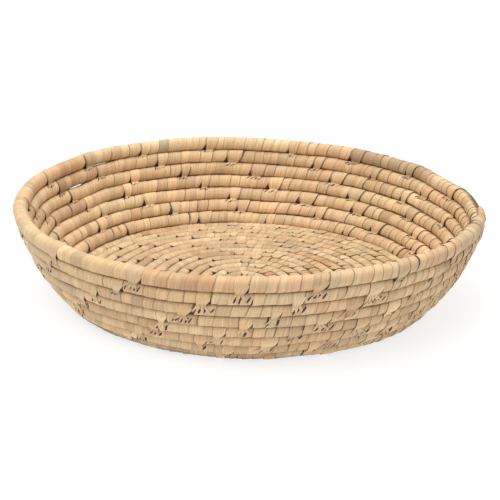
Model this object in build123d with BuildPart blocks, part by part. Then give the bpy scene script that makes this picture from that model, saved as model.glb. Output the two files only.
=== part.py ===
# A round tray basket of coiled palm leaf. One long bundle of fibre, the foundation, is laid in a
# flat spiral for the floor and then climbs in a flaring spiral for the wall. Split palm leaf is
# wound round the bundle, strip after strip, and the last wind of every strip is a long stitch
# that goes through the row beneath. The spiral runs anticlockwise seen from above and is made of
# half turns about two centres, so each half turn is a plain arc and neighbouring rows keep an
# even distance. Millimetres, +Z up, origin at the middle of the face that the basket stands on.
import os
from math import atan2, cos, degrees, hypot, pi, radians, sin, sqrt

from build123d import *

# Overall size. The spiral climbs all the way round, so the rim is at its widest and highest where
# it ends. floor_radius is where the floor's centre line turns up into the wall.
rim_radius = 201.6
basket_height = 88.8
floor_radius = 152.0
floor_rise = 1.6
wall_bulge = 12.5

# Rows of the coil
floor_turns = 15
wall_turns = 7
start_radius = 3.0
row_gap = 0.3
rest_flat = 0.45

# Palm leaf round the foundation
leaf_thickness = 0.9
bundle_clearance = 0.1
strip_spacing = 60.0
strip_gap = 0.4

# Stitches into the row beneath
floor_stitch_width = 4.5
wall_stitch_width = 7.0
stitch_proud = 0.2
stitch_reach = 4.0
stitch_clearance = 0.15
stitch_stagger = 0.4
stitch_first = 0.25
stitch_range = 0.5

half_turns = 2 * (floor_turns + wall_turns)
first_wall_half = 2 * floor_turns
floor_row = (floor_radius - start_radius) / (floor_turns - 0.5)
floor_coil = (floor_row - row_gap) / 2


def wall_line(coil):
    """Centre line of the wall in the XZ plane, for wall rows of this coil radius."""
    foot = Vector(floor_radius, 0, floor_coil - rest_flat)
    top = Vector(rim_radius - coil, 0, basket_height - coil)
    slope = (top - foot).normalized()
    outward = Vector(slope.Z, 0, -slope.X)
    return Bezier(foot, (foot + top) / 2 + outward * wall_bulge, top)


def foot_reach(coil):
    """Distance up the wall at which a wall row clears the floor row half a row inside the corner."""
    foot = wall_line(coil).tangent_at(0)
    apart = floor_coil + coil + row_gap
    return sqrt(apart**2 - (floor_row / 2 * foot.Z) ** 2) - floor_row / 2 * foot.X


# The wall's rows start just up the wall and fill the length that is left. The rim's coil sets
# where that length ends, so its radius settles over a few rounds.
wall_coil = floor_coil
for _ in range(12):
    wall_length = wall_line(wall_coil).length - foot_reach(wall_coil)
    wall_coil = (wall_length / wall_turns - row_gap) / 2
wall_row = 2 * wall_coil + row_gap
wall_foot_row = floor_coil + wall_coil + row_gap
wall_curve = wall_line(wall_coil)


def coil_radius(half):
    """Outside radius of the coil over its stitches, which fills the row."""
    return wall_coil if half >= first_wall_half else floor_coil


def wind_radius(half):
    """Outside radius of the plain winds of leaf."""
    return coil_radius(half) - stitch_proud


def bundle_radius(half):
    """Radius of the fibre bundle inside the winds."""
    return wind_radius(half) - leaf_thickness - bundle_clearance


def stitch_width(half):
    return wall_stitch_width if half >= first_wall_half else floor_stitch_width


def row_below(half):
    """Distance between a row's centre and the centre of the row beneath it."""
    if half < first_wall_half:
        return floor_row
    return wall_foot_row if half < first_wall_half + 2 else wall_row


# Distance of each half turn's start along the profile, from the middle of the floor outwards
reach = [start_radius, start_radius + floor_row / 2]
for half in range(2, half_turns + 1):
    reach.append(reach[half - 2] + row_below(half))
    if half == first_wall_half:
        reach[half] = floor_radius + foot_reach(wall_coil)


def profile_point(distance):
    """Radius and height of the coil's centre line at a distance along the profile."""
    if distance <= floor_radius:
        dome = floor_rise * (1 - (distance / floor_radius) ** 2)
        return distance, floor_coil - rest_flat + dome
    along = min(distance - floor_radius, wall_curve.length)
    point = wall_curve.position_at(along, position_mode=PositionMode.LENGTH)
    return point.X, point.Z


def half_turn_ends(half):
    """The two ends of a half turn, which lie on opposite sides of the XZ plane."""
    ends = []
    for index in (half, half + 1):
        radius, height = profile_point(reach[index])
        side = 1 if index % 2 == 0 else -1
        ends.append(Vector(side * radius, 0, height))
    return ends


def half_turn_frame(half):
    """Plane of a half turn: origin at its centre, X towards its start, Z its axis."""
    start, end = half_turn_ends(half)
    along = Vector(0, 1 if half % 2 == 0 else -1, 0)
    toward_start = (start - end).normalized()
    return Plane((start + end) / 2, x_dir=toward_start, z_dir=toward_start.cross(along))


def half_turn_radius(half):
    start, end = half_turn_ends(half)
    return (start - end).length / 2


def coil_axis(half):
    frame = half_turn_frame(half)
    return Axis(frame.origin, frame.z_dir)


def section_plane(half, angle):
    """Plane across the coil: origin on its centre line, X outwards, Y along the turn's axis."""
    frame = half_turn_frame(half)
    outward = frame.x_dir * cos(radians(angle)) + frame.y_dir * sin(radians(angle))
    centre = frame.origin + outward * half_turn_radius(half)
    return Plane(centre, x_dir=outward, z_dir=outward.cross(frame.z_dir))


def arc_angle(half, length):
    """Angle that a length of coil takes up on a half turn."""
    return degrees(length / half_turn_radius(half))


def row_beneath(half, angle):
    """Centre of the row beneath, in the plane across the coil of this half turn."""
    beneath = section_plane(half - 2, angle).origin
    return section_plane(half, angle).to_local_coords(beneath)


def stitch_angles(half):
    """Angles at which the strips of a half turn end in their stitch."""
    if half < 2:
        return []
    count = max(1, round(pi * half_turn_radius(half) / strip_spacing))
    turn = half // 2
    phase = stitch_first + stitch_range * ((turn * stitch_stagger) % 1)
    return [180 * (index + phase) / count for index in range(count)]


def draw_stitch(half, angle):
    """Section of a stitch: a band round this row with two legs that straddle the row beneath."""
    outer = coil_radius(half)
    inner = outer - leaf_thickness
    below = row_beneath(half, angle)
    apart = hypot(below.X, below.Y)
    lean = degrees(atan2(below.Y, below.X))
    length = apart - coil_radius(half - 2) + stitch_reach
    middle = below * (length / 2 / apart)
    Circle(outer)
    with Locations((middle.X, middle.Y)):
        Rectangle(length, 2 * outer, rotation=lean)
        Rectangle(length, 2 * inner, rotation=lean, mode=Mode.SUBTRACT)
    Circle(inner, mode=Mode.SUBTRACT)
    with Locations((below.X, below.Y)):
        Circle(coil_radius(half - 2) + stitch_clearance, mode=Mode.SUBTRACT)


def split_at_half_turns(start, end):
    """Split a stretch from (half, angle) to (half, angle) into one arc for each half turn."""
    arcs = []
    for half in range(start[0], end[0] + 1):
        first = start[1] if half == start[0] else 0
        last = end[1] if half == end[0] else 180
        if last - first > 1e-6:
            arcs.append((half, first, last))
    return arcs


def make_strip(start, end, stitched, nose=None):
    """One palm leaf strip: its sleeve of winds, its stitch, and a rounded nose if it needs one."""
    gap = arc_angle(start[0], strip_gap)
    with BuildPart() as strip:
        if nose:
            half, angle = nose
            with BuildSketch(section_plane(half, angle)):
                Circle(coil_radius(half))
            extrude(amount=leaf_thickness * (1 if angle == 0 else -1))
        first = 0 if nose and nose[1] == 0 else start[1] + gap
        for half, a, b in split_at_half_turns((start[0], first), end):
            last = b - arc_angle(half, stitch_width(half)) if stitched and half == end[0] else b
            with BuildSketch(section_plane(half, a)):
                Circle(wind_radius(half))
                Circle(wind_radius(half) - leaf_thickness, mode=Mode.SUBTRACT)
            revolve(axis=coil_axis(half), revolution_arc=last - a)
        if stitched:
            half, angle = end
            width = arc_angle(half, stitch_width(half))
            with BuildSketch(section_plane(half, angle - width)):
                draw_stitch(half, angle - width / 2)
            revolve(axis=coil_axis(half), revolution_arc=width)
        if half_turn_ends(start[0])[0].Z < 2 * coil_radius(start[0]) + stitch_reach:
            split(bisect_by=Plane.XY, keep=Keep.TOP)
    return strip.part


# Ends of the strips along the spiral: each stitch, the step from floor rows to the thicker wall
# rows, and the end of the rim.
strip_ends = []
for half in range(half_turns):
    if half == first_wall_half:
        strip_ends.append((half, 0.0, False))
    strip_ends.extend((half, angle, True) for angle in stitch_angles(half))
rim_end = (half_turns - 1, 180.0, False)

os.makedirs("parts", exist_ok=True)

# Foundation: one bundle of fibre from the middle of the floor to the end of the rim
with BuildPart() as foundation:
    for half in range(half_turns):
        with BuildSketch(section_plane(half, 0)):
            Circle(bundle_radius(half))
        revolve(axis=coil_axis(half), revolution_arc=180)
foundation.part.label = "foundation_bundle"
export_step(foundation.part, "parts/foundation_bundle.step")

# Leaf strips, grouped by the turn in which each strip ends
turn_strips = [[] for _ in range(floor_turns + wall_turns)]
start = (0, 0.0)
for half, angle, stitched in strip_ends:
    nose = (0, 0.0) if start == (0, 0.0) else None
    end = (half - 1, 180.0) if angle == 0 else (half, angle)
    turn_strips[end[0] // 2].append(make_strip(start, end, stitched, nose))
    start = (half, angle)

for turn, strips in enumerate(turn_strips):
    if turn < floor_turns:
        name = f"floor_wraps_{turn:02d}"
    elif turn < floor_turns + wall_turns - 1:
        name = f"wall_wraps_{turn - floor_turns + 1:02d}"
    else:
        name = "rim_wraps"
    if strips:
        wraps = Compound([solid for strip in strips for solid in strip.solids()])
        wraps.label = name
        export_step(wraps, f"parts/{name}.step")

# The last strip closes the end of the rim
rim_tuck = make_strip(start, rim_end[:2], False, nose=(half_turns - 1, 180.0))
rim_tuck.label = "rim_end_wrap"
export_step(rim_tuck, "parts/rim_end_wrap.step")

print(f"wall coil diameter {2 * wall_coil:.2f}, floor coil diameter {2 * floor_coil:.2f}")
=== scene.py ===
import math

import bpy
import numpy as np
from mathutils import Matrix, Vector


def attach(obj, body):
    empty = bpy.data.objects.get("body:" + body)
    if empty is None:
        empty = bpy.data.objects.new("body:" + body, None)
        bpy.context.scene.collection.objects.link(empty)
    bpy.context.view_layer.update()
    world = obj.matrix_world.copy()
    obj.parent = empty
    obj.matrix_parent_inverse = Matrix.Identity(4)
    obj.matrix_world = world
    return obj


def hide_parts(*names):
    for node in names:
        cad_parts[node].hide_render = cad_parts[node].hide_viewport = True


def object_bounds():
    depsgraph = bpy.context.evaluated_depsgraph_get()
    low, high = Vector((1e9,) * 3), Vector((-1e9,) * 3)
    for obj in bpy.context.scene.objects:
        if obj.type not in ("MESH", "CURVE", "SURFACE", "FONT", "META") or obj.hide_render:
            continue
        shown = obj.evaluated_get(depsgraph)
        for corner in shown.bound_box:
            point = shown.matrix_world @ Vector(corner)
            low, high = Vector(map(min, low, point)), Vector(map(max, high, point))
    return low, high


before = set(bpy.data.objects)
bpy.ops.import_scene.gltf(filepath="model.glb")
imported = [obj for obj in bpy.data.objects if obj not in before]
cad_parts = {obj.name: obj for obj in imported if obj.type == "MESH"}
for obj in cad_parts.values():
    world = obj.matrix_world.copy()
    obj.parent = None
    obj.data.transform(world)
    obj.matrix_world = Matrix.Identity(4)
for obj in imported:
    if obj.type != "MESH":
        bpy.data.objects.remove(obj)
cad_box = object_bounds()

MM = 0.001
DEG = math.pi / 180
RANDOM = np.random.default_rng(20)

# ---------------------------------------------------------------------------------------------
# Shape of the coil, in millimetres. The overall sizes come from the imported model, and the rest
# repeats the construction of its spiral.

RIM_RADIUS, _, HEIGHT = np.array(cad_box[1]) / MM
FLOOR_RADIUS = 152.0
FLOOR_RISE = 1.6
WALL_BULGE = 12.5
ROW_GAP = 0.3
REST_FLAT = 0.45
START_RADIUS = 3.0

FLOOR_NODES = sorted(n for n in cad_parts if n.startswith("floor_wraps"))
WALL_NODES = sorted(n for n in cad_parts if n.startswith("wall_wraps"))
FLOOR_TURNS = len(FLOOR_NODES) + 1
WALL_TURNS = len(WALL_NODES) + 1
TURNS = FLOOR_TURNS + WALL_TURNS
HALF_TURNS = 2 * TURNS
FLOOR_ROW = (FLOOR_RADIUS - START_RADIUS) / (FLOOR_TURNS - 0.5)
FLOOR_COIL = (FLOOR_ROW - ROW_GAP) / 2


def wall_points(coil, samples=400):
    """Points along the wall's centre line, as radius and height, with the distance to each."""
    foot = np.array([FLOOR_RADIUS, FLOOR_COIL - REST_FLAT])
    top = np.array([RIM_RADIUS - coil, HEIGHT - coil])
    slope = (top - foot) / np.linalg.norm(top - foot)
    belly = (foot + top) / 2 + np.array([slope[1], -slope[0]]) * WALL_BULGE
    t = np.linspace(0, 1, samples)[:, None]
    points = (1 - t) ** 2 * foot + 2 * (1 - t) * t * belly + t ** 2 * top
    steps = np.linalg.norm(np.diff(points, axis=0), axis=1)
    return points, np.concatenate([[0], np.cumsum(steps)])


def foot_reach(coil):
    """How far up the wall a row must start to clear the floor row on the corner's other side."""
    points, _ = wall_points(coil)
    foot = (points[1] - points[0]) / np.linalg.norm(points[1] - points[0])
    apart = FLOOR_COIL + coil + ROW_GAP
    return math.sqrt(apart ** 2 - (FLOOR_ROW / 2 * foot[1]) ** 2) - FLOOR_ROW / 2 * foot[0]


def solve_wall_coil():
    coil = FLOOR_COIL
    for _ in range(12):
        _, along = wall_points(coil)
        coil = ((along[-1] - foot_reach(coil)) / WALL_TURNS - ROW_GAP) / 2
    return coil


WALL_COIL = solve_wall_coil()
WALL_ROW = 2 * WALL_COIL + ROW_GAP
WALL_POINTS, WALL_ALONG = wall_points(WALL_COIL)


def profile(distance):
    """Radius and height of the profile at a distance from the middle."""
    distance = np.asarray(distance, float)
    wall = np.clip(distance - FLOOR_RADIUS, 0, WALL_ALONG[-1])
    radius = np.interp(wall, WALL_ALONG, WALL_POINTS[:, 0])
    height = np.interp(wall, WALL_ALONG, WALL_POINTS[:, 1])
    on_floor = distance <= FLOOR_RADIUS
    dome = FLOOR_RISE * (1 - (distance / FLOOR_RADIUS) ** 2)
    radius = np.where(on_floor, distance, radius)
    height = np.where(on_floor, FLOOR_COIL - REST_FLAT + dome, height)
    return radius, height


def smooth(x, low, high):
    """Smooth step from 0 at low to 1 at high."""
    t = np.clip((x - low) / (high - low), 0, 1)
    return t * t * (3 - 2 * t)


SLOPE_SPAN = 3.0       # the profile's slope is taken over this much to either side
WALL_BLEND = 5.0       # floor rows turn into wall rows over this much to either side


def build_centre_line():
    """The coil's centre line about every millimetre, with its frame and section sizes."""
    reach = [START_RADIUS, START_RADIUS + FLOOR_ROW / 2]
    wall_start = 2 * FLOOR_TURNS
    foot_row = FLOOR_COIL + WALL_COIL + ROW_GAP
    for half in range(2, HALF_TURNS + 1):
        row = FLOOR_ROW if half < wall_start else foot_row if half < wall_start + 2 else WALL_ROW
        reach.append(reach[half - 2] + row)
        if half == wall_start:
            reach[half] = FLOOR_RADIUS + foot_reach(WALL_COIL)
    centres, distances, azimuths = [], [], []
    for half in range(HALF_TURNS):
        ends = []
        for index in (half, half + 1):
            radius, height = profile(reach[index])
            side = 1 if index % 2 == 0 else -1
            ends.append(np.array([side * radius, 0, height]))
        middle = (ends[0] + ends[1]) / 2
        arm = (ends[0] - ends[1]) / 2
        size = np.linalg.norm(arm)
        across = np.array([0, 1 if half % 2 == 0 else -1, 0.0])
        count = max(12, int(math.pi * size))
        angle = np.linspace(0, math.pi, count, endpoint=half == HALF_TURNS - 1)
        part = np.outer(np.cos(angle), arm) + np.outer(np.sin(angle), across * size)
        centres.append(middle + part)
        distances.append(reach[half] + (reach[half + 1] - reach[half]) * angle / math.pi)
        azimuths.append(half * math.pi + angle)
    centre = np.concatenate(centres)
    distance = np.concatenate(distances)
    azimuth = np.concatenate(azimuths)
    ahead = profile(distance + SLOPE_SPAN)
    behind = profile(distance - SLOPE_SPAN)
    slope = np.arctan2(ahead[1] - behind[1], ahead[0] - behind[0])
    outward = np.stack([centre[:, 0], centre[:, 1], np.zeros(len(centre))], 1)
    outward /= np.linalg.norm(outward, axis=1)[:, None]
    up = np.array([0, 0, 1.0])
    climb = outward * np.cos(slope)[:, None] + up * np.sin(slope)[:, None]
    normal = outward * np.sin(slope)[:, None] - up * np.cos(slope)[:, None]
    steps = np.linalg.norm(np.diff(centre, axis=0), axis=1)
    along = np.concatenate([[0], np.cumsum(steps)])
    # The coil's half height, from floor rows to wall rows over part of a turn
    last_floor = FLOOR_RADIUS + FLOOR_ROW / 2
    wall = smooth(distance, last_floor - WALL_BLEND, last_floor + WALL_BLEND)
    half_row = (FLOOR_ROW * (1 - wall) + WALL_ROW * wall) / 2
    return dict(along=along, centre=centre, climb=climb, normal=normal, azimuth=azimuth,
                distance=distance, half_row=half_row, wall=wall)


LINE = build_centre_line()
COIL_LENGTH = LINE["along"][-1]
# The top row takes on its rim look between these places, about one turn before the coil's end
RIM_STARTS = COIL_LENGTH - 2 * math.pi * 190, COIL_LENGTH - 2 * math.pi * 180
RIM_TAPER = 75.0       # length over which the coil thins down to its end
RIM_THINNING = 0.62    # share of its size lost there
RIM_SINK = 0.92        # how far the thinned end sinks onto the row beneath, as a share
START_TAPER = 26.0     # length over which the coil thickens from its start
START_SIZE = 0.45      # size at the start, as a share
PLAN_REACH = 240.0     # half width of the area that plan_wave covers

# The wrapped coil's section: half its depth outside and inside, and how square it is
FLOOR_DEPTH = 4.2
WALL_DEPTH_OUT = 5.1
WALL_DEPTH_IN = 5.5
RIM_DEPTH_EXTRA = 0.35
ROW_PRESS = 0.10       # how much lower than half a row the section is
SQUARE_OUT = 0.80
SQUARE_IN = 0.92
UNEVENNESS = 0.03      # share by which the coil thickens and thins
# How far rows wander along the profile and across it: together, and each on its own
WANDER_ALONG = (0.62, 0.13)
WANDER_ACROSS = (0.45, 0.18)
# Places where a row hangs away from the one over it: row from the top, degrees, millimetres
PARTINGS = [(3, 146, 1.7), (4, 146, 0.9), (2, 137, 1.0)]
PARTING_REACH = 7.0    # degrees to either side over which it does
GROUND_PRESS = 0.5     # the underside is flattened below this height


def at(key, along):
    """A value of the centre line at any distances along the coil."""
    values = LINE[key]
    if values.ndim == 1:
        return np.interp(along, LINE["along"], values)
    return np.stack([np.interp(along, LINE["along"], values[:, k]) for k in range(3)], -1)


def wave(along, seed, length):
    """Smooth random wave of about unit size with one knot per given length of coil."""
    knots = np.random.default_rng(seed).normal(size=int(COIL_LENGTH / length) + 4)
    x = along / length
    i = np.clip(x.astype(int), 0, len(knots) - 2)
    f = x - i
    f = f * f * (3 - 2 * f)
    return knots[i] * (1 - f) + knots[i + 1] * f


def plan_wave(points, seed, cell):
    """Smooth random field over the basket's plan, so that neighbouring rows move together."""
    size = int(2 * PLAN_REACH / cell) + 4
    knots = np.random.default_rng(seed).normal(size=(size, size))
    u = (points[..., 0] + PLAN_REACH) / cell
    v = (points[..., 1] + PLAN_REACH) / cell
    i, j = u.astype(int), v.astype(int)
    f, g = u - i, v - j
    f, g = f * f * (3 - 2 * f), g * g * (3 - 2 * g)
    near = knots[i, j] * (1 - f) + knots[i + 1, j] * f
    far = knots[i, j + 1] * (1 - f) + knots[i + 1, j + 1] * f
    return near * (1 - g) + far * g


def coil_surface(along, angle, lift):
    """Points on the wrapped coil.

    angle runs round the section: -pi at the row beneath, -pi/2 outside, 0 at the row above and
    pi/2 inside. lift is the height over the coil's plain surface.
    """
    wall = at("wall", along)
    half_row = at("half_row", along)
    centre, climb, normal = at("centre", along), at("climb", along), at("normal", along)
    rim = smooth(along, *RIM_STARTS)
    tuck = 1 - smooth(along, COIL_LENGTH - RIM_TAPER, COIL_LENGTH + 4) * RIM_THINNING
    start = START_SIZE + (1 - START_SIZE) * smooth(along, 0, START_TAPER)
    fat = tuck * start * (1 + UNEVENNESS * wave(along, 5, 23.0))
    high = (half_row - ROW_PRESS) * tuck * start
    outer = (FLOOR_DEPTH * (1 - wall) + WALL_DEPTH_OUT * wall + RIM_DEPTH_EXTRA * rim) * fat
    inner = (FLOOR_DEPTH * (1 - wall) + WALL_DEPTH_IN * wall) * fat
    sine, cosine = np.sin(angle), np.cos(angle)
    outside = sine < 0
    power = np.where(outside, SQUARE_OUT, SQUARE_IN)
    depth = np.where(outside, outer, inner)
    n = -np.sign(sine) * np.abs(sine) ** power * depth
    b = np.sign(cosine) * np.abs(cosine) ** power * high
    length = np.hypot(sine / depth, cosine / high)
    n_lift = -sine / depth / length
    b_lift = cosine / high / length
    grown = smooth(along, 0, 250)
    together, alone = WANDER_ALONG
    shift_b = together * plan_wave(centre, 11, 36.0) + alone * wave(along, 12, 17.0)
    shift_b = shift_b * grown - (1 - tuck) * half_row * RIM_SINK
    together, alone = WANDER_ACROSS
    shift_n = (together * plan_wave(centre, 13, 42.0) + alone * wave(along, 14, 26.0)) * grown
    for turn, degrees, drop in PARTINGS:
        away = (at("azimuth", along) - 2 * math.pi * (TURNS - turn)) / DEG - degrees
        shift_b = shift_b - drop * np.clip(1 - (away / PARTING_REACH) ** 2, 0, 1)
    b_total = (b + lift * b_lift + shift_b)[..., None]
    n_total = (n + lift * n_lift + shift_n * (0.3 + 0.7 * wall))[..., None]
    points = centre + climb * b_total + normal * n_total
    # The underside is pressed flat on the ground
    low = points[..., 2]
    pressed = GROUND_PRESS * np.exp(np.minimum(low - GROUND_PRESS, 0) / GROUND_PRESS)
    points[..., 2] = np.where(low < GROUND_PRESS, pressed, low)
    return points


# ---------------------------------------------------------------------------------------------
# Winds of leaf and stitches along the coil

LEAF = 0.32              # thickness of a leaf strip
OVERLAP = 0.7            # how far a wind lies over the one before it
WIND_WALL = 9.6          # width of a wind
WIND_FLOOR = 7.0
STITCH_WALL = 60.0       # length of coil from stitch to stitch
STITCH_FLOOR = 38.0
FIRST_STITCH = 40.0      # no stitches nearer to the coil's start than this
CLEAR_OF_STITCH = 0.24   # nearest to a stitch of the row beneath, as a share of the spacing
STEP_PAST_STITCH = 0.28  # how far a stitch that is nearer moves on, likewise
LONGEST_RADIUS = 210.0   # no turn of the coil is longer than a circle of this radius
END_MARGIN = 3.0         # the last wind ends at most this far from the coil's end
STITCH_WIDER = 1.2       # width of a stitch, as a share of a wind's


def plan_winds():
    """Width, place, strip and stitch mark of every wind from the centre to the rim's end."""
    winds = []
    along = 0.0
    strip = 0
    stitches = []
    while along < COIL_LENGTH - END_MARGIN:
        wall = float(at("wall", along))
        spacing = (STITCH_FLOOR * (1 - wall) + STITCH_WALL * wall) * RANDOM.uniform(0.86, 1.14)
        target = along + spacing
        # A stitch keeps clear of the stitches of the row beneath
        place = min(target, COIL_LENGTH)
        turn = float(at("azimuth", place)) - 2 * math.pi
        for old in stitches:
            apart = (float(at("azimuth", old)) - turn) * float(at("distance", place))
            if abs(apart) < CLEAR_OF_STITCH * spacing:
                target += STEP_PAST_STITCH * spacing
                break
        target = min(target, COIL_LENGTH)
        width = (WIND_FLOOR * (1 - wall) + WIND_WALL * wall) * RANDOM.uniform(0.84, 1.18)
        count = max(2, round((target - along) / width))
        shares = RANDOM.uniform(0.68, 1.32, count)
        shares[-1] *= STITCH_WIDER
        widths = shares / shares.sum() * (target - along)
        last = target >= COIL_LENGTH - END_MARGIN
        for index, w in enumerate(widths):
            stitch = index == count - 1 and along > FIRST_STITCH and not last
            winds.append((along, w, strip, stitch))
            along += w
        stitches = [s for s in stitches if s > along - 2 * math.pi * LONGEST_RADIUS][-60:] + [along]
        strip += 1
    return winds


WINDS = plan_winds()
STARTS = np.array([w[0] for w in WINDS])
WIDTHS = np.array([w[1] for w in WINDS])
STRIPS = np.array([w[2] for w in WINDS])
STITCHED = np.array([w[3] for w in WINDS])
COUNT = len(WINDS)
AZIMUTHS = at("azimuth", STARTS)
ON_WALL = at("wall", STARTS)

# Leaf colours in sRGB, each with its share of the strips
PALETTE = [
    ((0.852, 0.740, 0.575), 0.22),   # pale straw
    ((0.842, 0.716, 0.548), 0.27),   # straw
    ((0.844, 0.706, 0.550), 0.20),   # pinkish tan
    ((0.876, 0.766, 0.606), 0.12),   # bleached
    ((0.808, 0.678, 0.515), 0.11),   # tan
    ((0.812, 0.716, 0.574), 0.03),   # grey green
    ((0.800, 0.640, 0.475), 0.03),   # orange brown
    ((0.740, 0.600, 0.460), 0.01),   # brown
]


def to_linear(colour):
    colour = np.clip(colour, 0, 1)
    return np.where(colour <= 0.04045, colour / 12.92, ((colour + 0.055) / 1.055) ** 2.4)


MIXING = 0.6           # most of another strip's colour that a wind takes on
FLOOR_MIXING = 0.5     # share of that on the floor
VALUE_SPREAD = 0.036   # spread of the winds' brightness
# Runs of darker leaf: row from the top, first and last degree, colour
RUNS = [(1, 31, 56, (0.690, 0.580, 0.462)), (7, 14, 32, (0.765, 0.620, 0.475))]
FLOOR_TONE = 0.87      # the floor's leaf is this much darker


def wind_colours():
    shades = np.array([colour for colour, _ in PALETTE])
    odds = np.array([share for _, share in PALETTE])
    base = shades[RANDOM.choice(len(PALETTE), STRIPS.max() + 1, p=odds / odds.sum())][STRIPS]
    other = shades[RANDOM.choice(len(PALETTE), COUNT, p=odds / odds.sum())]
    mix = (RANDOM.random(COUNT) ** 1.5 * MIXING)[:, None]
    value = 1 + RANDOM.normal(0, VALUE_SPREAD, COUNT)[:, None]
    mix = mix * (FLOOR_MIXING + (1 - FLOOR_MIXING) * ON_WALL[:, None])
    for row, first, last, colour in RUNS:
        degrees = (AZIMUTHS - 2 * math.pi * (TURNS - row)) / DEG
        base = np.where(((degrees > first) & (degrees < last))[:, None], colour, base)
    tone = FLOOR_TONE + (1 - FLOOR_TONE) * ON_WALL[:, None]
    return to_linear((base * (1 - mix) + other * mix) * value) * tone


COLOURS = wind_colours()

AROUND = 26
ANGLE = np.linspace(-math.pi, math.pi, AROUND)
ACROSS_TOP = np.array([0.0, 0.07, 0.3, 0.6, 0.83, 0.92, 1.0])
ACROSS_BACK = np.array([1.0, 0.5, 0.0])
ACROSS = np.concatenate([ACROSS_TOP, ACROSS_BACK])
FACE = len(ACROSS_TOP)
# Near black: the colour of the painted shade bodies in stitch slits, and the tint that the core
# carries
DEEP_SHADE_COLOUR = np.array([[0.050, 0.024, 0.010]])

# How much the winds narrow to a stitch's neck, outside and inside, as shares of its width
NECK_OUT = 0.30
NECK_IN = 0.17
NECK_IN_FLOOR = 1.7    # times that on the floor
# How far a wind's edge leans in one turn round the coil, in widths, and how that varies
LEAN = 0.88
LEAN_WAVE = 0.16
LEAN_SPREAD = 0.10
BOW = 0.25             # spread of the bend of an edge
FLOOR_BOW = 0.4        # share of that on the floor
PARTED = 0.11          # share of the winds that stand apart along part of their edge


def wind_edges():
    """Places along the coil of every wind's front and back edge, at each angle of the section."""
    starts = np.append(STARTS, STARTS[-1] + WIDTHS[-1])
    wall = np.append(ON_WALL, 1.0)
    width = WIND_FLOOR * (1 - wall) + WIND_WALL * wall
    lean = LEAN + LEAN_WAVE * wave(starts, 31, 45.0) + RANDOM.normal(0, LEAN_SPREAD, COUNT + 1)
    bow = RANDOM.normal(0, BOW, (COUNT + 1, 2)) * (FLOOR_BOW + (1 - FLOOR_BOW) * wall[:, None])
    edges = starts[:, None] + (width * lean)[:, None] * ANGLE[None] / (2 * math.pi)
    edges += bow[:, :1] * np.sin(ANGLE)[None] + bow[:, 1:] * np.sin(2 * ANGLE)[None]
    front, back = edges[:-1].copy(), edges[1:].copy()
    out = smooth(-ANGLE, 45 * DEG, 160 * DEG)
    for index in np.flatnonzero(STITCHED):
        inside = smooth(ANGLE, (105 - 35 * ON_WALL[index]) * DEG, 165 * DEG)
        wide = edges[index + 1] - edges[index]
        neck = NECK_OUT * RANDOM.uniform(0.5, 1.15) * wide * out
        floor_part = 1 + (NECK_IN_FLOOR - 1) * (1 - ON_WALL[index])
        waist = NECK_IN * floor_part * wide * inside
        front[index] += 0.65 * neck + waist
        back[index] -= 1.25 * neck + 1.6 * waist
        back[index - 1] += 0.65 * neck + 0.3 * waist
        front[index - 1] += 0.35 * neck
        back[index - 2] += 0.35 * neck
        if index + 1 < COUNT:
            front[index + 1] += RANDOM.uniform(0.3, 1.4) * out + RANDOM.uniform(1.0, 2.6) * inside
    # Here and there two winds stand apart along part of their edge
    for index in np.flatnonzero(RANDOM.random(COUNT) < PARTED):
        middle = RANDOM.uniform(-0.8, 0.75) * math.pi
        reach = RANDOM.uniform(0.25, 0.6) * math.pi
        open_part = np.clip(1 - ((ANGLE - middle) / reach) ** 2, 0, 1) ** 0.5
        back[index] -= RANDOM.uniform(1.0, 1.9) * open_part
    return front - OVERLAP, back


FRONT, BACK = wind_edges()


def pack_cells(sizes):
    """Corners of rectangles set side by side on shelves in the unit square, and their scale."""
    order = np.argsort(-sizes[:, 1], kind="stable")
    side = math.sqrt(sizes.prod(axis=1).sum()) * 1.01
    while True:
        corners = np.zeros(sizes.shape)
        x, y, shelf = 0.0, 0.0, sizes[order[0], 1]
        for index in order:
            if x + sizes[index, 0] > side:
                x, y, shelf = 0.0, y + shelf, sizes[index, 1]
            corners[index] = x, y
            x += sizes[index, 0]
        if y + shelf <= side:
            return corners, side
        side *= 1.01


CELL_MARGIN = 0.5
CAP_CELL = 2.0


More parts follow.
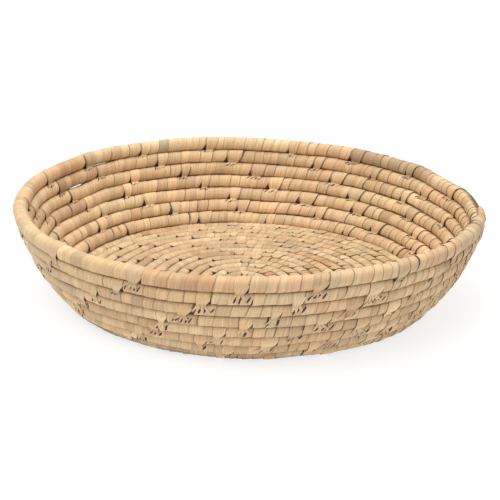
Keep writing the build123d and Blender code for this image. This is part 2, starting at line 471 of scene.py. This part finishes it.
class Leaves:
    """Collects closed bands for one piece: points, faces, flat layout and what the leaf needs."""

    def __init__(self):
        self.points, self.quads, self.caps = [], [], []
        self.colour, self.leaf, self.shade = [], [], []
        self.cells, self.quad_uv, self.cap_uv = [], [], []
        self.total = 0

    def add(self, grid, around_steps, length, leaf_x, leaf_y, colour, seed, shade):
        """Add bands of rows of rings of points, given as (bands, rows, columns, 3).

        around_steps are the widths between the columns and length is that of the band, for the
        flat layout. leaf_x and leaf_y are leaf coordinates across and along the leaf.
        """
        bands, rows, columns, _ = grid.shape
        ring = np.arange(columns)
        following = (ring + 1) % columns
        row = np.arange(rows - 1)[:, None] * columns
        corners = [row + ring, row + following, row + columns + following, row + columns + ring]
        quads = np.stack(corners, -1).reshape(-1, 4)
        base = self.total + np.arange(bands) * rows * columns
        self.quads.append((quads[None] + base[:, None, None]).reshape(-1, 4))
        caps = np.stack([ring[::-1], (rows - 1) * columns + ring])
        self.caps.append((caps[None] + base[:, None, None]).reshape(-1, columns))
        self.points.append(grid.reshape(-1, 3))
        full = (bands, rows, columns)
        places = [np.broadcast_to(part, full) for part in (leaf_x, leaf_y, seed[:, None, None])]
        self.leaf.append(np.stack(places, -1).reshape(-1, 3))
        self.colour.append(np.broadcast_to(colour[:, None, None], full + (3,)).reshape(-1, 3))
        self.shade.append(np.broadcast_to(shade, full).reshape(-1))
        self.total += bands * rows * columns
        self.lay_flat(bands, rows, columns, np.asarray(around_steps, float), length)

    def lay_flat(self, bands, rows, columns, around_steps, length):
        """Cell of every band in the flat layout, and the places of its faces in the cell."""
        u = np.concatenate([[0], np.cumsum(around_steps)]) + CELL_MARGIN / 2
        v = np.linspace(0, length, rows) + CELL_MARGIN / 2
        left, right = u[None, :-1], u[None, 1:]
        low, high = v[:-1, None], v[1:, None]
        corners = [(left, low), (right, low), (right, high), (left, high)]
        shape = (rows - 1, columns)
        flat = [np.stack([np.broadcast_to(part, shape) for part in pair], -1) for pair in corners]
        self.quad_uv += [np.stack(flat, 2).reshape(-1, 4, 2)] * bands
        turn = 2 * math.pi * np.arange(columns) / columns
        disc = np.stack([np.cos(turn), np.sin(turn)], 1) * (CAP_CELL / 2 - CELL_MARGIN / 2)
        middle = np.array([CAP_CELL / 2, length + CELL_MARGIN + CAP_CELL / 2])
        step = np.array([CAP_CELL, 0])
        self.cap_uv += [np.stack([(disc + middle)[::-1], disc + middle + step])] * bands
        wide = max(u[-1] + CELL_MARGIN / 2, 2 * CAP_CELL)
        self.cells += [(wide, length + CELL_MARGIN + CAP_CELL)] * bands

    def build(self, name, material):
        points = np.concatenate(self.points) * MM
        quads = np.concatenate(self.quads)
        caps = [cap for group in self.caps for cap in group]
        mesh = bpy.data.meshes.new(name)
        loops = np.concatenate([quads.ravel(), np.concatenate(caps)])
        sizes = np.concatenate([np.full(len(quads), 4), [len(cap) for cap in caps]])
        starts = np.concatenate([[0], np.cumsum(sizes)[:-1]])
        mesh.vertices.add(len(points))
        mesh.vertices.foreach_set("co", points.astype(np.float32).ravel())
        mesh.loops.add(len(loops))
        mesh.loops.foreach_set("vertex_index", loops.astype(np.int32))
        mesh.polygons.add(len(sizes))
        mesh.polygons.foreach_set("loop_start", starts.astype(np.int32))
        mesh.polygons.foreach_set("loop_total", sizes.astype(np.int32))
        mesh.update(calc_edges=True)
        self.set_attributes(mesh)
        self.set_layout(mesh)
        mesh.shade_smooth()
        mesh.set_sharp_from_angle(angle=50 * DEG)
        piece = bpy.data.objects.new(name, mesh)
        bpy.context.collection.objects.link(piece)
        piece.data.materials.append(material)
        return piece

    def set_attributes(self, mesh):
        colour = np.concatenate(self.colour)
        rgba = np.concatenate([colour, np.ones((len(colour), 1))], 1)
        tint = mesh.attributes.new("tint", "FLOAT_COLOR", "POINT")
        tint.data.foreach_set("color", rgba.astype(np.float32).ravel())
        leaf = mesh.attributes.new("leaf", "FLOAT_VECTOR", "POINT")
        leaf.data.foreach_set("vector", np.concatenate(self.leaf).astype(np.float32).ravel())
        # shade carries the painted shade that the leaf material multiplies into the colour
        shade = mesh.attributes.new("shade", "FLOAT", "POINT")
        shade.data.foreach_set("value", np.concatenate(self.shade).astype(np.float32))

    def set_layout(self, mesh):
        """Every band has a cell of its own in one flat layout."""
        corners, side = pack_cells(np.array(self.cells))
        quads = [flat + corner for flat, corner in zip(self.quad_uv, corners)]
        caps = [flat + corner for flat, corner in zip(self.cap_uv, corners)]
        parts = [part.reshape(-1, 2) for part in quads + caps]
        layout = mesh.uv_layers.new(name="OFBake")
        places = np.concatenate(parts) / side
        layout.uv.foreach_set("vector", places.astype(np.float32).ravel())


def row_beneath(along):
    """Where the row beneath lies at the same azimuth: its place along the coil."""
    azimuth = at("azimuth", along) - 2 * math.pi
    return np.interp(azimuth, LINE["azimuth"], LINE["along"])


CROWN = (0.08, 0.24)   # how much a wind bulges across its width
PROUD = 0.35           # share of the winds whose front edge stands proud
PROUD_EDGE = (0.42, 0.68)
PLAIN_EDGE = (0.20, 0.36)
# How dark the painted shade is along a wind just before the next wind's edge lies over it
SEAM_SHADE = (0.08, 0.80)
SECTION_ROUND = 36.0   # length of leaf once round the coil
LEAF_PER_RADIAN = 5.8
SEED_STEP = 1.37       # sets the leaf pattern of neighbouring winds apart
DARK_BELOW = 0.88      # painted shade in the grooves: how dark a row gets at the row beneath and at the row above
DARK_ABOVE = 0.80
DARK_FOOT = 0.70       # painted shadow: how dark the foot gets towards the ground, and right at it
DARK_CONTACT = 0.75


def add_winds(leaves, chosen):
    """Every chosen wind, as a band that closes round the coil."""
    front, back = FRONT[chosen], BACK[chosen]
    place = front[:, :, None] + (back - front)[:, :, None] * ACROSS
    place = np.clip(place, 0, COIL_LENGTH)
    total = len(chosen)
    crown = RANDOM.uniform(*CROWN, total)[:, None, None]
    proud = RANDOM.random(total) < PROUD
    step = np.where(proud, RANDOM.uniform(*PROUD_EDGE, total), RANDOM.uniform(*PLAIN_EDGE, total))
    step = step[:, None, None]
    lift = step * (1 - ACROSS) ** 1.3 + crown * 4 * ACROSS * (1 - ACROSS) + 0.05
    lift = np.broadcast_to(lift, place.shape).copy()
    inside = smooth(ANGLE, 10 * DEG, 70 * DEG)[None, :, None]
    raised = STITCHED[chosen] * (0.35 + 0.65 * ON_WALL[chosen])
    lift += raised[:, None, None] * (0.15 + 0.75 * inside)
    lift[..., FACE:] -= LEAF
    angle = np.broadcast_to(ANGLE[None, :, None], place.shape)
    grid = coil_surface(place, angle, lift)
    leaf_x = WIDTHS[chosen][:, None, None] * ACROSS
    leaf_y = ANGLE[None, :, None] * LEAF_PER_RADIAN
    # Painted shade: darker where rows and winds meet, but not along the top of the rim
    rim = smooth(place, *RIM_STARTS)
    cosine = np.cos(ANGLE)[None, :, None]
    wide = 0.10 * (1 - at("wall", place))
    shade = 1 - DARK_BELOW * smooth(-cosine, 0.78 - wide, 1.0)
    shade = shade - DARK_ABOVE * smooth(cosine, 0.84 - wide, 1.0) * (1 - rim)
    # Painted shadow on the outer floor rows, darker towards the ground and right at it
    foot = smooth(at("distance", place), FLOOR_RADIUS - 12, FLOOR_RADIUS - 2)
    shade = shade * (1 - DARK_FOOT * foot * (1 - smooth(grid[..., 2], 0, 6.5)))
    shade = shade * (1 - DARK_CONTACT * foot * (1 - smooth(grid[..., 2], 0.4, 2.2)))
    # Painted shade on the leaf's back side
    shade[..., FACE:] *= 0.6
    # Painted shade along the wind just before the next wind's edge lies over it
    depth = RANDOM.uniform(*SEAM_SHADE, total) * (0.35 + 0.65 * ON_WALL[chosen])
    shade *= 1 - depth[:, None, None] * smooth(ACROSS, 0.82, 0.92)
    steps = np.append(np.abs(np.diff(ACROSS)), 0) * WIDTHS[chosen].mean()
    steps[FACE:] *= 0.2
    steps = np.maximum(steps, 0.3)
    seed = chosen * SEED_STEP
    leaves.add(grid, steps, SECTION_ROUND, leaf_x, leaf_y, COLOURS[chosen], seed, shade)


def add_stitches(leaves, chosen):
    """Both ends of every stitch: each crosses the groove and splits into points."""
    for index in chosen[STITCHED[chosen]]:
        for side in (-1, 1):
            add_leg(leaves, index, side)


def depth_angle(half_row, depth):
    """Angle on a row at a depth below its top."""
    return np.arccos(np.clip(1 - depth / half_row, -0.6, 0.95))


def leg_path(side, half_row, reach):
    """Row, angle, lift and progress of the points down a leg.

    The first points follow the coil's side. The others lie on the row beneath, reach below the
    groove, and the last one goes under its leaf.
    """
    end = math.degrees(depth_angle(half_row, reach))
    landing = 40
    points = [
        (0, 70, 0.30, 0.0),
        (0, 95, 0.72, 0.14),
        (0, 118, 0.90, 0.28),
        (0, 137, 1.15, 0.40),
        (1, landing, 1.25, 0.52),
        (1, landing + (end - landing) * 0.45, 1.20, 0.68),
        (1, landing + (end - landing) * 0.85, 1.00, 0.90),
        (1, end, 0.60, 0.97),
        (1, end + 7, -0.05, 1.0),
    ]
    return np.array([[row, angle * DEG * side, lift, p] for row, angle, lift, p in points])


LOWEST_ROW = 18.0      # distance up the wall below which a row is the lowest
LEG_LENGTH = 12.0      # length of leaf down a leg
BOLD = 0.6             # share of the outside stitches that spread wide and reach far
SLIT_SHADOW_SHARE = 0.85      # share of the places between points that have a slit, drawn as a dark body of painted shade
# How far down the row beneath a leg reaches, and its spread there in widths
BOLD_REACH, BOLD_SPREAD = (4.5, 8.0), (1.00, 1.45)
SHORT_REACH, SHORT_SPREAD = (2.6, 4.2), (0.60, 0.95)
INSIDE_REACH, INSIDE_SPREAD = (2.5, 4.2), (0.72, 1.00)


def leg_shape(index, side):
    """How wide a leg spreads, how far it reaches and how many points it has."""
    wall = ON_WALL[index]
    if side < 0:
        # The lowest row's stitches end short, above the ground
        low = at("distance", STARTS[index]) < FLOOR_RADIUS + LOWEST_ROW
        bold = RANDOM.random() < BOLD and not low
        reach = RANDOM.uniform(*(BOLD_REACH if bold else SHORT_REACH))
        spread = RANDOM.uniform(*(BOLD_SPREAD if bold else SHORT_SPREAD))
        return spread, reach * (0.6 + 0.4 * wall), int(RANDOM.integers(3, 5 + bold))
    reach = RANDOM.uniform(*INSIDE_REACH)
    spread = RANDOM.uniform(*INSIDE_SPREAD)
    return spread, reach * (0.75 + 0.25 * wall), int(RANDOM.integers(2, 4))


def add_leg(leaves, index, side):
    """One end of a stitch, as a fan of points. side is -1 outside and 1 inside."""
    half_row = float(at("half_row", STARTS[index]))
    spread, reach, fingers = leg_shape(index, side)
    whole = WIDTHS[index]
    lean = RANDOM.normal(0.12 * side, 0.10) * whole
    bend = RANDOM.normal(0, 0.05, fingers + 1) * whole
    for finger in range(fingers):
        far = reach * RANDOM.uniform(0.72, 1.08)
        path = leg_path(side, half_row, far)
        tip = RANDOM.uniform(0.10, 0.32)
        narrow = np.interp(path[:, 3], [0, 0.45, 0.68, 0.95, 1.0], [1, 1, 0.80, tip, tip * 0.8])
        u = np.linspace(-0.5, 0.5, 4)
        share = (finger + 0.5) / fingers - 0.5
        rows = []
        for k, (row, angle, _, progress) in enumerate(path):
            own = angle if row < 0.5 else 150 * DEG * side
            front = np.interp(own, ANGLE, FRONT[index]) + 0.35
            back = np.interp(own, ANGLE, BACK[index]) - 0.15
            past = smooth(progress, 0.45, 0.95)
            width = (back - front) * (1 - past) + spread * whole * past
            middle = (front + back) / 2 + (lean + bend[finger]) * past
            rows.append(middle + width * (share + u / fingers * narrow[k]))
        leg_band(leaves, np.array(rows), path, side, index, whole / fingers)
        # Painted shade: a dark body stands for the shadow in the slit
        if RANDOM.random() < SLIT_SHADOW_SHARE:
            slot = middle + spread * whole * (share + 0.5 / fingers)
            add_slit_shadow(leaves, slot, side, half_row, reach, whole * 0.12)


def leg_band(leaves, rows, path, side, index, wide):
    """A closed band through the rows of places, following the path down the two coils."""
    beneath = path[:, 0] > 0.5
    places = np.clip(rows, 0, COIL_LENGTH)
    places[beneath] = row_beneath(places[beneath])
    angle = np.repeat(path[:, 1:2], rows.shape[1], 1)
    lift = np.repeat(path[:, 2:3], rows.shape[1], 1)
    top = coil_surface(places, angle, lift)
    bottom = coil_surface(places, angle, lift - LEAF)[:, ::-1]
    grid = np.concatenate([top, bottom], 1)[None]
    # Painted shade where the leg crosses the groove and where its end goes under its leaf
    shade = np.interp(path[:, 3], [0, 0.3, 0.46, 0.6, 0.9, 1.0], [1, 0.97, 0.82, 1.0, 0.95, 0.4])
    if side > 0:
        grid, shade = grid[:, ::-1], shade[::-1]
    across = rows.shape[1] - 1
    leaf_x = np.concatenate([np.arange(across + 1), np.arange(across + 1)[::-1]]) * wide / across
    leaf_y = np.linspace(LEG_LENGTH, 2 * LEG_LENGTH, len(path))[None, :, None]
    steps = [wide / across] * across + [0.3] + [0.2 * wide / across] * across + [0.3]
    colour = COLOURS[index][None] * (1.08 - 0.04 * side)
    seed = np.array([index * SEED_STEP])
    leaves.add(grid, steps, LEG_LENGTH, leaf_x[None, None], leaf_y, colour, seed,
               shade[None, :, None])


def add_slit_shadow(leaves, place, side, half_row, reach, slant):
    """A dark slanting body of painted shade between two points of a stitch, standing for the shadow
    in the slit there; it lies on the leaf and is no opening.
    """
    upper = reach * RANDOM.uniform(0.25, 0.5)
    lower = reach * RANDOM.uniform(0.9, 1.2)
    width = RANDOM.uniform(0.45, 0.78 - 0.20 * side)
    turn = np.linspace(0, 2 * math.pi, 8, endpoint=False)
    place = row_beneath(np.array([place]))[0]
    rings = []
    for scale, lift in ((1.0, 0.25), (1.0, 0.66), (0.55, 0.74)):
        depth = (upper + lower) / 2 + (lower - upper) / 2 * np.sin(turn) * (0.5 + 0.5 * scale)
        across = width * np.cos(turn) * scale + slant * np.sin(turn) * side
        places = np.clip(place + across, 0, COIL_LENGTH)
        rings.append(coil_surface(places, depth_angle(half_row, depth) * side, np.full(8, lift)))
    grid = np.array(rings)[None]
    if side < 0:
        grid = grid[:, :, ::-1]
    zero = np.zeros((1, 1, 1))
    leaves.add(grid, [0.5] * 8, 1.0, zero, zero, DEEP_SHADE_COLOUR, np.array([0.0]), zero + 1)


# ---------------------------------------------------------------------------------------------
# Materials

def new_material(name):
    material = bpy.data.materials.new(name)
    material.use_nodes = True
    tree = material.node_tree
    return material, tree, tree.nodes["Principled BSDF"]


def link(tree, source, target):
    tree.links.new(source, target)


def math_node(tree, operation, a, b):
    node = tree.nodes.new("ShaderNodeMath")
    node.operation = operation
    for socket, value in zip(node.inputs, (a, b)):
        if isinstance(value, (int, float)):
            socket.default_value = value
        else:
            link(tree, value, socket)
    return node.outputs[0]


def scaled_leaf(tree, scale):
    """The leaf's own coordinates, stretched along its fibres."""
    read = tree.nodes.new("ShaderNodeAttribute")
    read.attribute_name = "leaf"
    mapping = tree.nodes.new("ShaderNodeMapping")
    mapping.inputs["Scale"].default_value = scale
    link(tree, read.outputs["Vector"], mapping.inputs["Vector"])
    return mapping.outputs[0]


def noise(tree, vector, scale, detail, roughness=0.5):
    node = tree.nodes.new("ShaderNodeTexNoise")
    node.inputs["Scale"].default_value = scale
    node.inputs["Detail"].default_value = detail
    node.inputs["Roughness"].default_value = roughness
    link(tree, vector, node.inputs["Vector"])
    return node.outputs["Fac"]


def span(tree, value, low, high, to_low, to_high):
    node = tree.nodes.new("ShaderNodeMapRange")
    limits = {"From Min": low, "From Max": high, "To Min": to_low, "To Max": to_high}
    for name, number in limits.items():
        node.inputs[name].default_value = number
    link(tree, value, node.inputs["Value"])
    return node.outputs[0]


def mix_colour(tree, blend, factor, a, b):
    node = tree.nodes.new("ShaderNodeMix")
    node.data_type = "RGBA"
    node.blend_type = blend
    for socket, value in ((node.inputs[0], factor), (node.inputs[6], a), (node.inputs[7], b)):
        if isinstance(value, (int, float, tuple)):
            socket.default_value = value
        else:
            link(tree, value, socket)
    return node.outputs[2]


AGED = (1.0, 0.90, 0.79, 1.0)            # multiplies the colour in the blotches
NICK_COLOUR = (0.27, 0.14, 0.065, 1.0)
FIBRE_DARK = (0.085, 0.042, 0.018, 1.0)
FIBRE_LIGHT = (0.20, 0.11, 0.052, 1.0)
FIBRE_GRAIN = 900.0


def leaf_material(name, roughness):
    """Dried split palm leaf: fine fibres, faint ribs, blotches and darker nicks, times the painted
    shade in the shade attribute.
    """
    material, tree, shader = new_material(name)
    tint = tree.nodes.new("ShaderNodeAttribute")
    tint.attribute_name = "tint"
    shade = tree.nodes.new("ShaderNodeAttribute")
    shade.attribute_name = "shade"
    fibres = noise(tree, scaled_leaf(tree, (5.5, 0.16, 1.0)), 1.0, 4, 0.6)
    ribs = noise(tree, scaled_leaf(tree, (1.35, 0.03, 1.0)), 1.0, 2)
    blotch = noise(tree, scaled_leaf(tree, (0.10, 0.10, 1.0)), 1.0, 3)
    nicks = noise(tree, scaled_leaf(tree, (1.1, 0.35, 1.0)), 1.0, 5, 0.75)
    bright = span(tree, fibres, 0.25, 0.75, 0.71, 1.20)
    rib_shade = span(tree, ribs, 0.30, 0.70, 0.82, 1.12)
    shades = math_node(tree, "MULTIPLY", bright, rib_shade)
    # Painted shade from the shade attribute darkens the colour
    shades = math_node(tree, "MULTIPLY", shades, shade.outputs["Fac"])
    grey = tree.nodes.new("ShaderNodeCombineColor")
    for socket in grey.inputs:
        link(tree, shades, socket)
    warm = span(tree, blotch, 0.38, 0.66, 0.0, 0.55)
    colour = mix_colour(tree, "MULTIPLY", warm, tint.outputs["Color"], AGED)
    colour = mix_colour(tree, "MULTIPLY", 1.0, colour, grey.outputs[0])
    spots = span(tree, nicks, 0.66, 0.80, 0.0, 0.55)
    colour = mix_colour(tree, "MIX", spots, colour, NICK_COLOUR)
    link(tree, colour, shader.inputs["Base Color"])
    rough = span(tree, fibres, 0.2, 0.8, roughness - 0.07, roughness + 0.10)
    link(tree, rough, shader.inputs["Roughness"])
    height = math_node(tree, "ADD", fibres, math_node(tree, "MULTIPLY", ribs, 1.6))
    bump = tree.nodes.new("ShaderNodeBump")
    bump.inputs["Strength"].default_value = 0.45
    bump.inputs["Distance"].default_value = 0.00025
    link(tree, height, bump.inputs["Height"])
    link(tree, bump.outputs[0], shader.inputs["Normal"])
    shader.inputs["Specular IOR Level"].default_value = 0.35
    return material


def dark_material(name, low, high, scale):
    """Fibre seen in the shade between the winds."""
    material, tree, shader = new_material(name)
    coords = tree.nodes.new("ShaderNodeTexCoord")
    grain = noise(tree, coords.outputs["Object"], scale, 4)
    colour = mix_colour(tree, "MIX", span(tree, grain, 0.3, 0.7, 0.0, 1.0), low, high)
    link(tree, colour, shader.inputs["Base Color"])
    shader.inputs["Roughness"].default_value = 0.9
    bump = tree.nodes.new("ShaderNodeBump")
    bump.inputs["Strength"].default_value = 0.5
    bump.inputs["Distance"].default_value = 0.0004
    link(tree, grain, bump.inputs["Height"])
    link(tree, bump.outputs[0], shader.inputs["Normal"])
    return material


# ---------------------------------------------------------------------------------------------
# Pieces

def foundation():
    """The fibre bundle: a dark ribbed core all along the coil, in lengths laid end to end."""
    lengths, rows, columns = 78, 61, 12
    ends = np.linspace(2.0, COIL_LENGTH - 1.5, lengths + 1)
    place = np.linspace(ends[:-1], ends[1:], rows, axis=1)[:, :, None]
    angle = np.linspace(-math.pi, math.pi, columns, endpoint=False)
    place, turn = np.broadcast_arrays(place, angle)
    ribs = np.where(np.arange(columns) % 2 == 0, -0.62, -0.85)
    ribs[[0, columns // 2]] = -0.03   # neighbouring rows close the groove between them
    grid = coil_surface(place, turn, np.broadcast_to(ribs, place.shape))
    core = Leaves()
    zero = np.zeros((1, 1, 1))
    colours = np.tile(DEEP_SHADE_COLOUR, (lengths, 1))
    core.add(grid, [2.6] * columns, 190.0, zero, zero, colours, np.zeros(lengths), zero + 1)
    fibre = dark_material("palm_fibre", FIBRE_DARK, FIBRE_LIGHT, FIBRE_GRAIN)
    piece = core.build("palm_fibre_bundle", fibre)
    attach(piece, "root")
    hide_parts("foundation_bundle")


def turn_piece(name, chosen, node, material):
    leaves = Leaves()
    add_winds(leaves, chosen)
    add_stitches(leaves, chosen)
    piece = leaves.build(name, material)
    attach(piece, "root")
    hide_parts(node)


def basket():
    foundation()
    materials = {
        "palm_leaf_floor": leaf_material("palm_leaf_floor", 0.62),
        "palm_leaf_wall": leaf_material("palm_leaf_wall", 0.58),
        "palm_leaf_rim": leaf_material("palm_leaf_rim", 0.55),
    }
    turn_of = np.clip((AZIMUTHS / (2 * math.pi)).astype(int), 1, TURNS - 1)
    ending = STARTS > COIL_LENGTH - RIM_TAPER
    for turn in range(1, TURNS):
        if turn < FLOOR_TURNS:
            node, slot, label = FLOOR_NODES[turn - 1], "palm_leaf_floor", f"floor_row_{turn:02d}"
        elif turn < TURNS - 1:
            node = WALL_NODES[turn - FLOOR_TURNS]
            slot, label = "palm_leaf_wall", f"wall_row_{turn - FLOOR_TURNS + 1:02d}"
        else:
            node, slot, label = "rim_wraps", "palm_leaf_rim", "rim_row"
        chosen = np.flatnonzero((turn_of == turn) & ~ending)
        turn_piece(label, chosen, node, materials[slot])
    turn_piece("rim_end", np.flatnonzero(ending), "rim_end_wrap",
               materials["palm_leaf_rim"])


# ---------------------------------------------------------------------------------------------
# Floor, light and camera

STAGE_GREY = 0.30
STAGE_GLOW = 0.76      # brings the ground near white under soft light
WORLD_LIGHT = 0.60


def stage_floor():
    bpy.ops.mesh.primitive_plane_add(size=8.0, location=(0, 0, -0.0003))
    floor = bpy.context.object
    floor.name = "stage_floor"
    material, _, shader = new_material("stage_white")
    shader.inputs["Base Color"].default_value = (STAGE_GREY, STAGE_GREY, STAGE_GREY, 1)
    shader.inputs["Emission Color"].default_value = (1, 1, 1, 1)
    shader.inputs["Emission Strength"].default_value = STAGE_GLOW
    shader.inputs["Roughness"].default_value = 0.95
    shader.inputs["Specular IOR Level"].default_value = 0.0
    floor.data.materials.append(material)


def area_light(name, place, target, size, power):
    data = bpy.data.lights.new(name, "AREA")
    data.shape = "RECTANGLE"
    data.size, data.size_y = size
    data.energy = power
    lamp = bpy.data.objects.new(name, data)
    lamp.location = place
    aim = Vector(target) - Vector(place)
    lamp.rotation_euler = aim.to_track_quat("-Z", "Y").to_euler()
    bpy.context.collection.objects.link(lamp)


def lights():
    world = bpy.data.worlds.new("studio")
    world.use_nodes = True
    world.node_tree.nodes["Background"].inputs[0].default_value = (1, 1, 1, 1)
    world.node_tree.nodes["Background"].inputs[1].default_value = WORLD_LIGHT
    bpy.context.scene.world = world
    area_light("key_soft", (-0.45, -0.60, 1.45), (0, 0.05, 0.03), (1.3, 1.0), 17)
    area_light("top_soft", (0.10, 0.35, 1.15), (0, 0.15, 0.05), (1.2, 0.8), 8)


CAMERA_ELEVATION = 19.8 * DEG
CAMERA_DISTANCE = 1.704
CAMERA_TARGET_HEIGHT = 0.040
CAMERA_ROLL = 1.40 * DEG
CAMERA_LENS = 143.3
FRAME_SHIFT = (0.0018, -0.0074)


def camera():
    data = bpy.data.cameras.new("camera")
    data.lens = CAMERA_LENS
    data.sensor_width = 36.0
    data.shift_x, data.shift_y = FRAME_SHIFT
    data.clip_start, data.clip_end = 0.05, 30.0
    eye = bpy.data.objects.new("camera", data)
    cosine, sine = math.cos(CAMERA_ELEVATION), math.sin(CAMERA_ELEVATION)
    eye.location = (0, -CAMERA_DISTANCE * cosine, CAMERA_DISTANCE * sine + CAMERA_TARGET_HEIGHT)
    level = Matrix.Rotation(math.pi / 2 - CAMERA_ELEVATION, 4, "X")
    eye.rotation_euler = (level @ Matrix.Rotation(CAMERA_ROLL, 4, "Z")).to_euler()
    bpy.context.collection.objects.link(eye)
    bpy.context.scene.camera = eye


camera()
stage_floor()
lights()
basket()
bpy.context.scene.view_settings.view_transform = "Standard"
